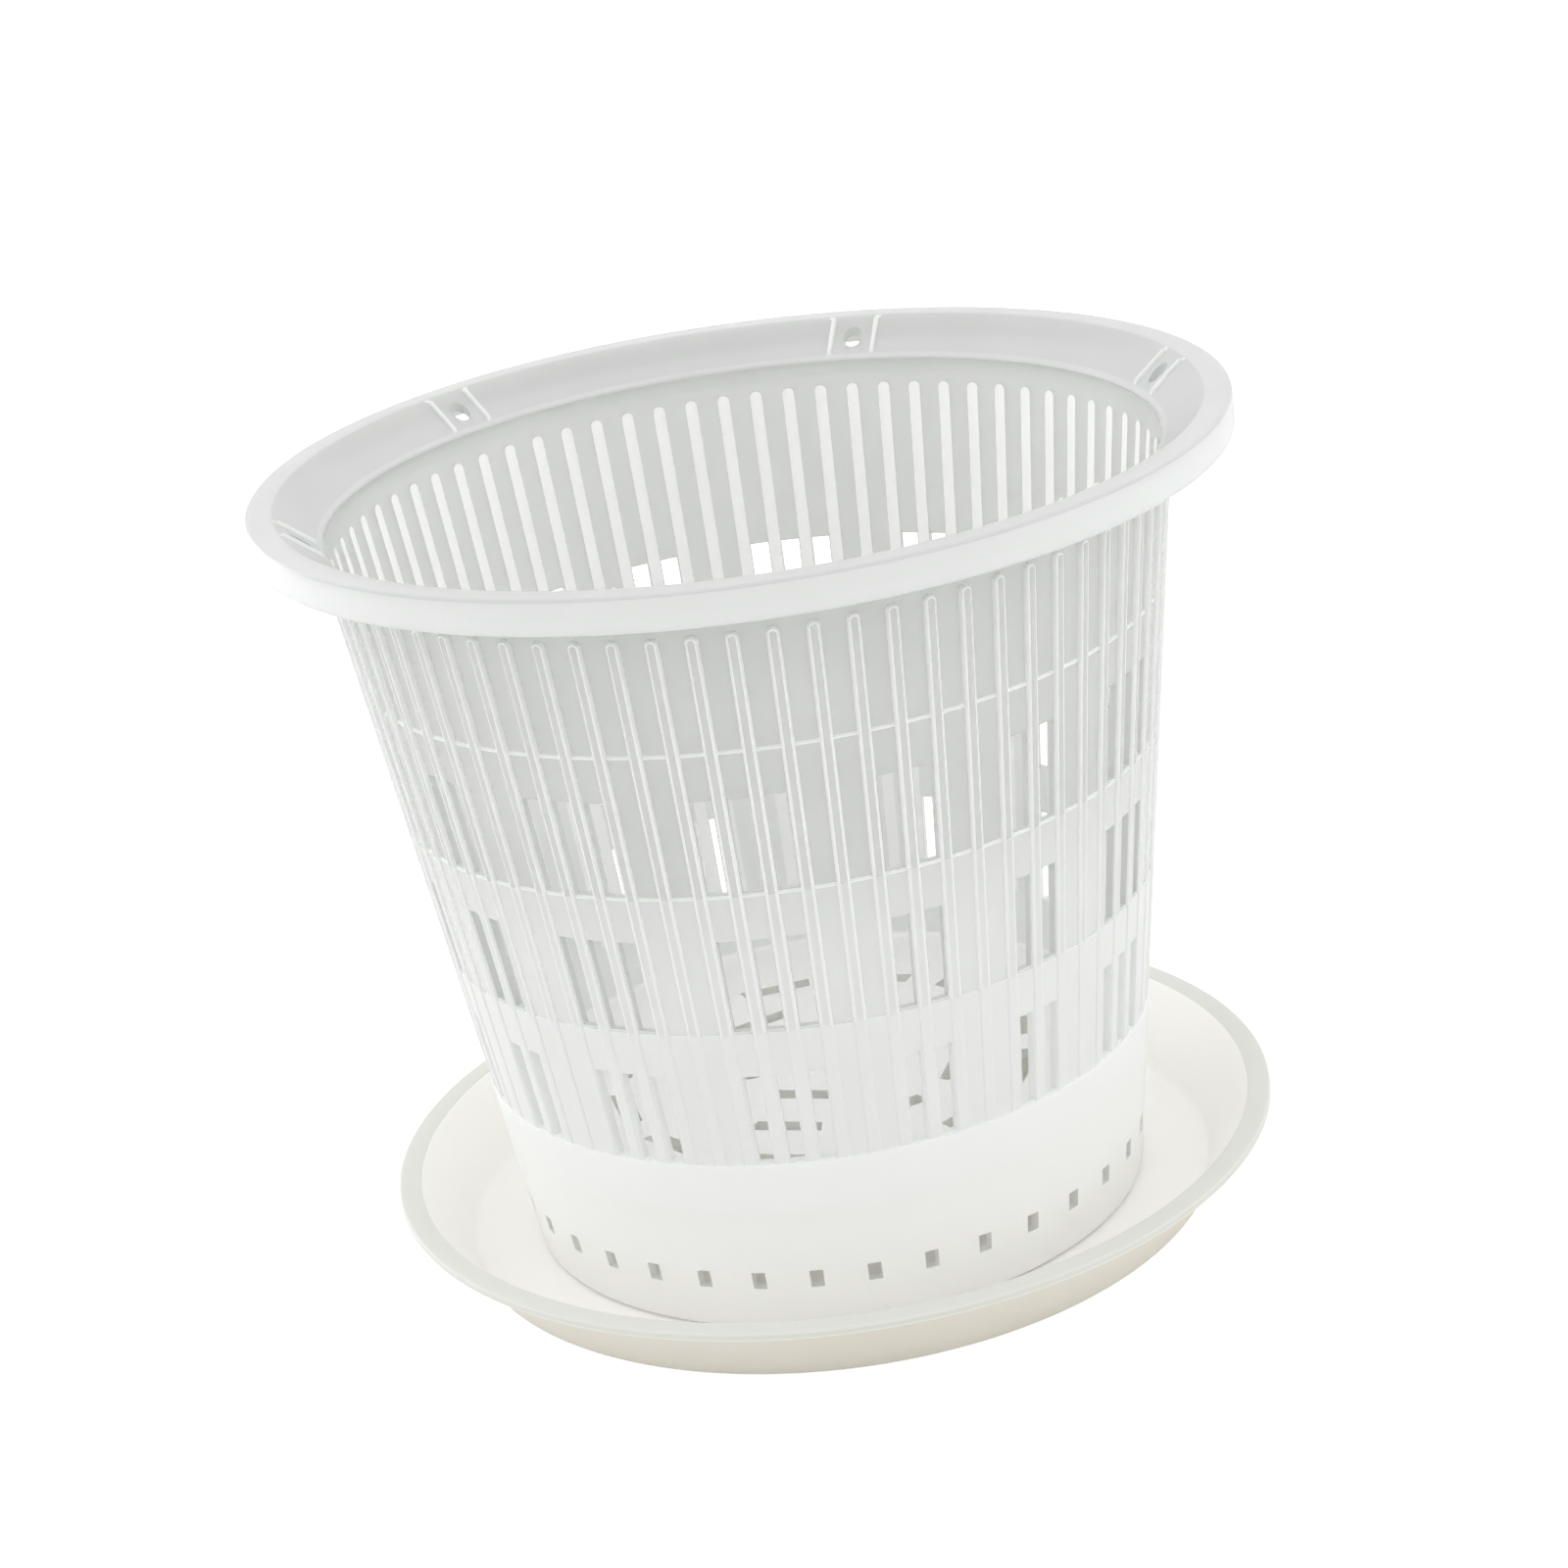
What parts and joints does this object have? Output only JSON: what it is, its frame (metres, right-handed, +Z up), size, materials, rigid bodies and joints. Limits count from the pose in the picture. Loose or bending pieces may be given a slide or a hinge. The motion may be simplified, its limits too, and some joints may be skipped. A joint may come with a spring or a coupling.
{
  "type": "orchid pot",
  "caption": "Translucent plastic orchid pot with a ribbed, slotted wall, wide dished rim and raised drained floor, standing loose in a shallow flared saucer.",
  "frame": {"origin": "on the saucer's axis, at the level of the surface the saucer stands on", "axes": "+Z up along the common axis of saucer and pot; -Y towards the viewer of the picture, +X to the viewer's right"},
  "size_m": [0.15, 0.15, 0.1274],
  "materials": {
    "pot_plastic": "clear, slightly milky polypropylene, moulded smooth",
    "saucer_plastic": "opaque cream-white polypropylene, moulded smooth"
  },
  "bodies": {
    "saucer": {"saucer": "saucer_plastic"},
    "pot": {"orchid_pot": "pot_plastic"}
  },
  "joints": [
    {"name": "pot_lift", "type": "slide", "parent": "saucer", "child": "pot", "axis": [0, 0, 1], "range_m": [0, 0.05]}
  ]
}
